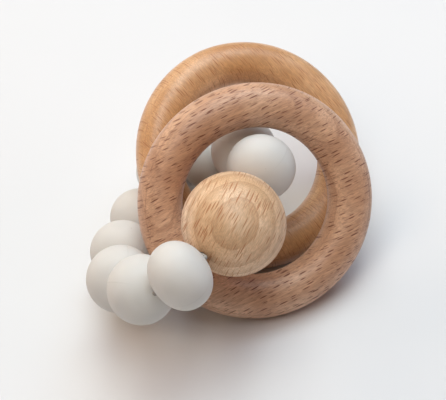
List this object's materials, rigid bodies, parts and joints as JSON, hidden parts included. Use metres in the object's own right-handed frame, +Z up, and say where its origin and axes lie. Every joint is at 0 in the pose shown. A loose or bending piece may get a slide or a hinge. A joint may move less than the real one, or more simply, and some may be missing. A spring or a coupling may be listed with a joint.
{
  "type": "baby rattle",
  "caption": "Baby rattle and teether: two turned beech rings linked through a closed loop of round silicone beads and one larger beech bead.",
  "frame": {"origin": "middle of the footprint, on the table that the rattle stands on", "axes": "+Z up, +X to the right and +Y away from someone who faces the side with the beech bead"},
  "size_m": [0.0634, 0.0758, 0.0427],
  "materials": {
    "pink_beech": "sanded, bare",
    "honey_beech": "sanded, lightly oiled",
    "pale_beech": "sanded, bare",
    "silicone": "matte",
    "cord": "braided"
  },
  "bodies": {
    "back_ring": {"ring_back": "honey_beech"},
    "loop": {"wood_bead": "pale_beech", "loop_cord": "cord", "cord_knot": "cord"},
    "front_ring": {"ring_front": "pink_beech"},
    "bead_1": {"silicone_bead_1": "silicone"},
    "bead_2": {"silicone_bead_2": "silicone"},
    "bead_3": {"silicone_bead_3": "silicone"},
    "bead_4": {"silicone_bead_4": "silicone"},
    "bead_5": {"silicone_bead_5": "silicone"},
    "bead_6": {"silicone_bead_6": "silicone"},
    "bead_7": {"silicone_bead_7": "silicone"},
    "bead_8": {"silicone_bead_8": "silicone"},
    "bead_9": {"silicone_bead_9": "silicone"}
  },
  "joints": [
    {"name": "loop_swing", "type": "hinge", "parent": "back_ring", "child": "loop", "pos_m": [-0.01338, 0.00382, 0.01766], "axis": [0.4173, -0.6809, -0.6018], "range_deg": [0, 45]},
    {"name": "front_ring_swing", "type": "hinge", "parent": "loop", "child": "front_ring", "pos_m": [-0.01291, -0.0107, 0.01851], "axis": [0.352, -0.5389, -0.7653], "range_deg": [0, 90]},
    {"name": "bead_1_spin", "type": "hinge", "parent": "loop", "child": "bead_1", "pos_m": [-0.00869, -0.03055, 0.0324], "axis": [-0.8464, -0.446, -0.2909], "continuous": true},
    {"name": "bead_2_spin", "type": "hinge", "parent": "loop", "child": "bead_2", "pos_m": [-0.01799, -0.02645, 0.0234], "axis": [-0.5806, 0.5132, -0.6321], "continuous": true},
    {"name": "bead_3_spin", "type": "hinge", "parent": "loop", "child": "bead_3", "pos_m": [-0.02379, -0.01735, 0.016], "axis": [-0.2482, 0.8263, -0.5055], "continuous": true},
    {"name": "bead_4_spin", "type": "hinge", "parent": "loop", "child": "bead_4", "pos_m": [-0.02429, -0.00555, 0.0106], "axis": [0.1185, 0.9352, -0.3336], "continuous": true},
    {"name": "bead_5_spin", "type": "hinge", "parent": "loop", "child": "bead_5", "pos_m": [-0.02079, 0.00645, 0.0075], "axis": [0.3276, 0.937, -0.1214], "continuous": true},
    {"name": "bead_6_spin", "type": "hinge", "parent": "loop", "child": "bead_6", "pos_m": [-0.01569, 0.01895, 0.0075], "axis": [0.796, 0.5083, 0.3287], "continuous": true},
    {"name": "bead_7_spin", "type": "hinge", "parent": "loop", "child": "bead_7", "pos_m": [-0.00429, 0.01705, 0.0143], "axis": [0.7539, -0.2873, 0.5908], "continuous": true},
    {"name": "bead_8_spin", "type": "hinge", "parent": "loop", "child": "bead_8", "pos_m": [0.00391, 0.01155, 0.0228], "axis": [0.491, -0.6455, 0.5851], "continuous": true},
    {"name": "bead_9_spin", "type": "hinge", "parent": "loop", "child": "bead_9", "pos_m": [0.00811, 0.00065, 0.0291], "axis": [-0.1469, -0.9664, 0.2111], "continuous": true}
  ]
}
